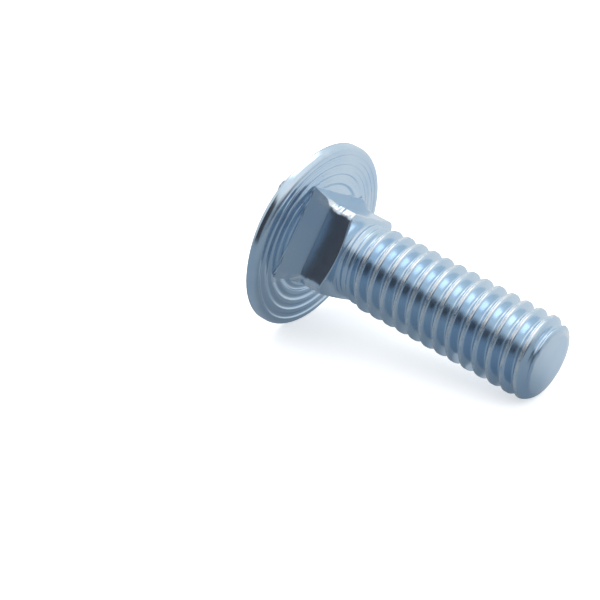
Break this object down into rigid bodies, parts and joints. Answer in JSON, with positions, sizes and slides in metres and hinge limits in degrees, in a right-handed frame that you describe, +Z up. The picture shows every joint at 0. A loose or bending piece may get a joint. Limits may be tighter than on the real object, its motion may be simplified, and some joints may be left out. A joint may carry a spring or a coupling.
{
  "type": "carriage bolt",
  "caption": "Zinc-plated carriage bolt: low domed head, square neck that locks in a square hole, and a right-hand rolled thread with a chamfered tip.",
  "frame": {"origin": "middle of the bounding box's bottom face; the bolt lies on z = 0 on the rim of its head and the last crest at its tip", "axes": "+X along the bolt from head to tip, seen from above (the axis itself dips 11.74 degrees toward the tip); +Z up"},
  "size_m": [0.0295, 0.0176, 0.0174],
  "materials": {
    "zinc_plate": "bright blue-white zinc plate on steel"
  },
  "bodies": {
    "root": {"bolt": "zinc_plate"}
  },
  "joints": []
}
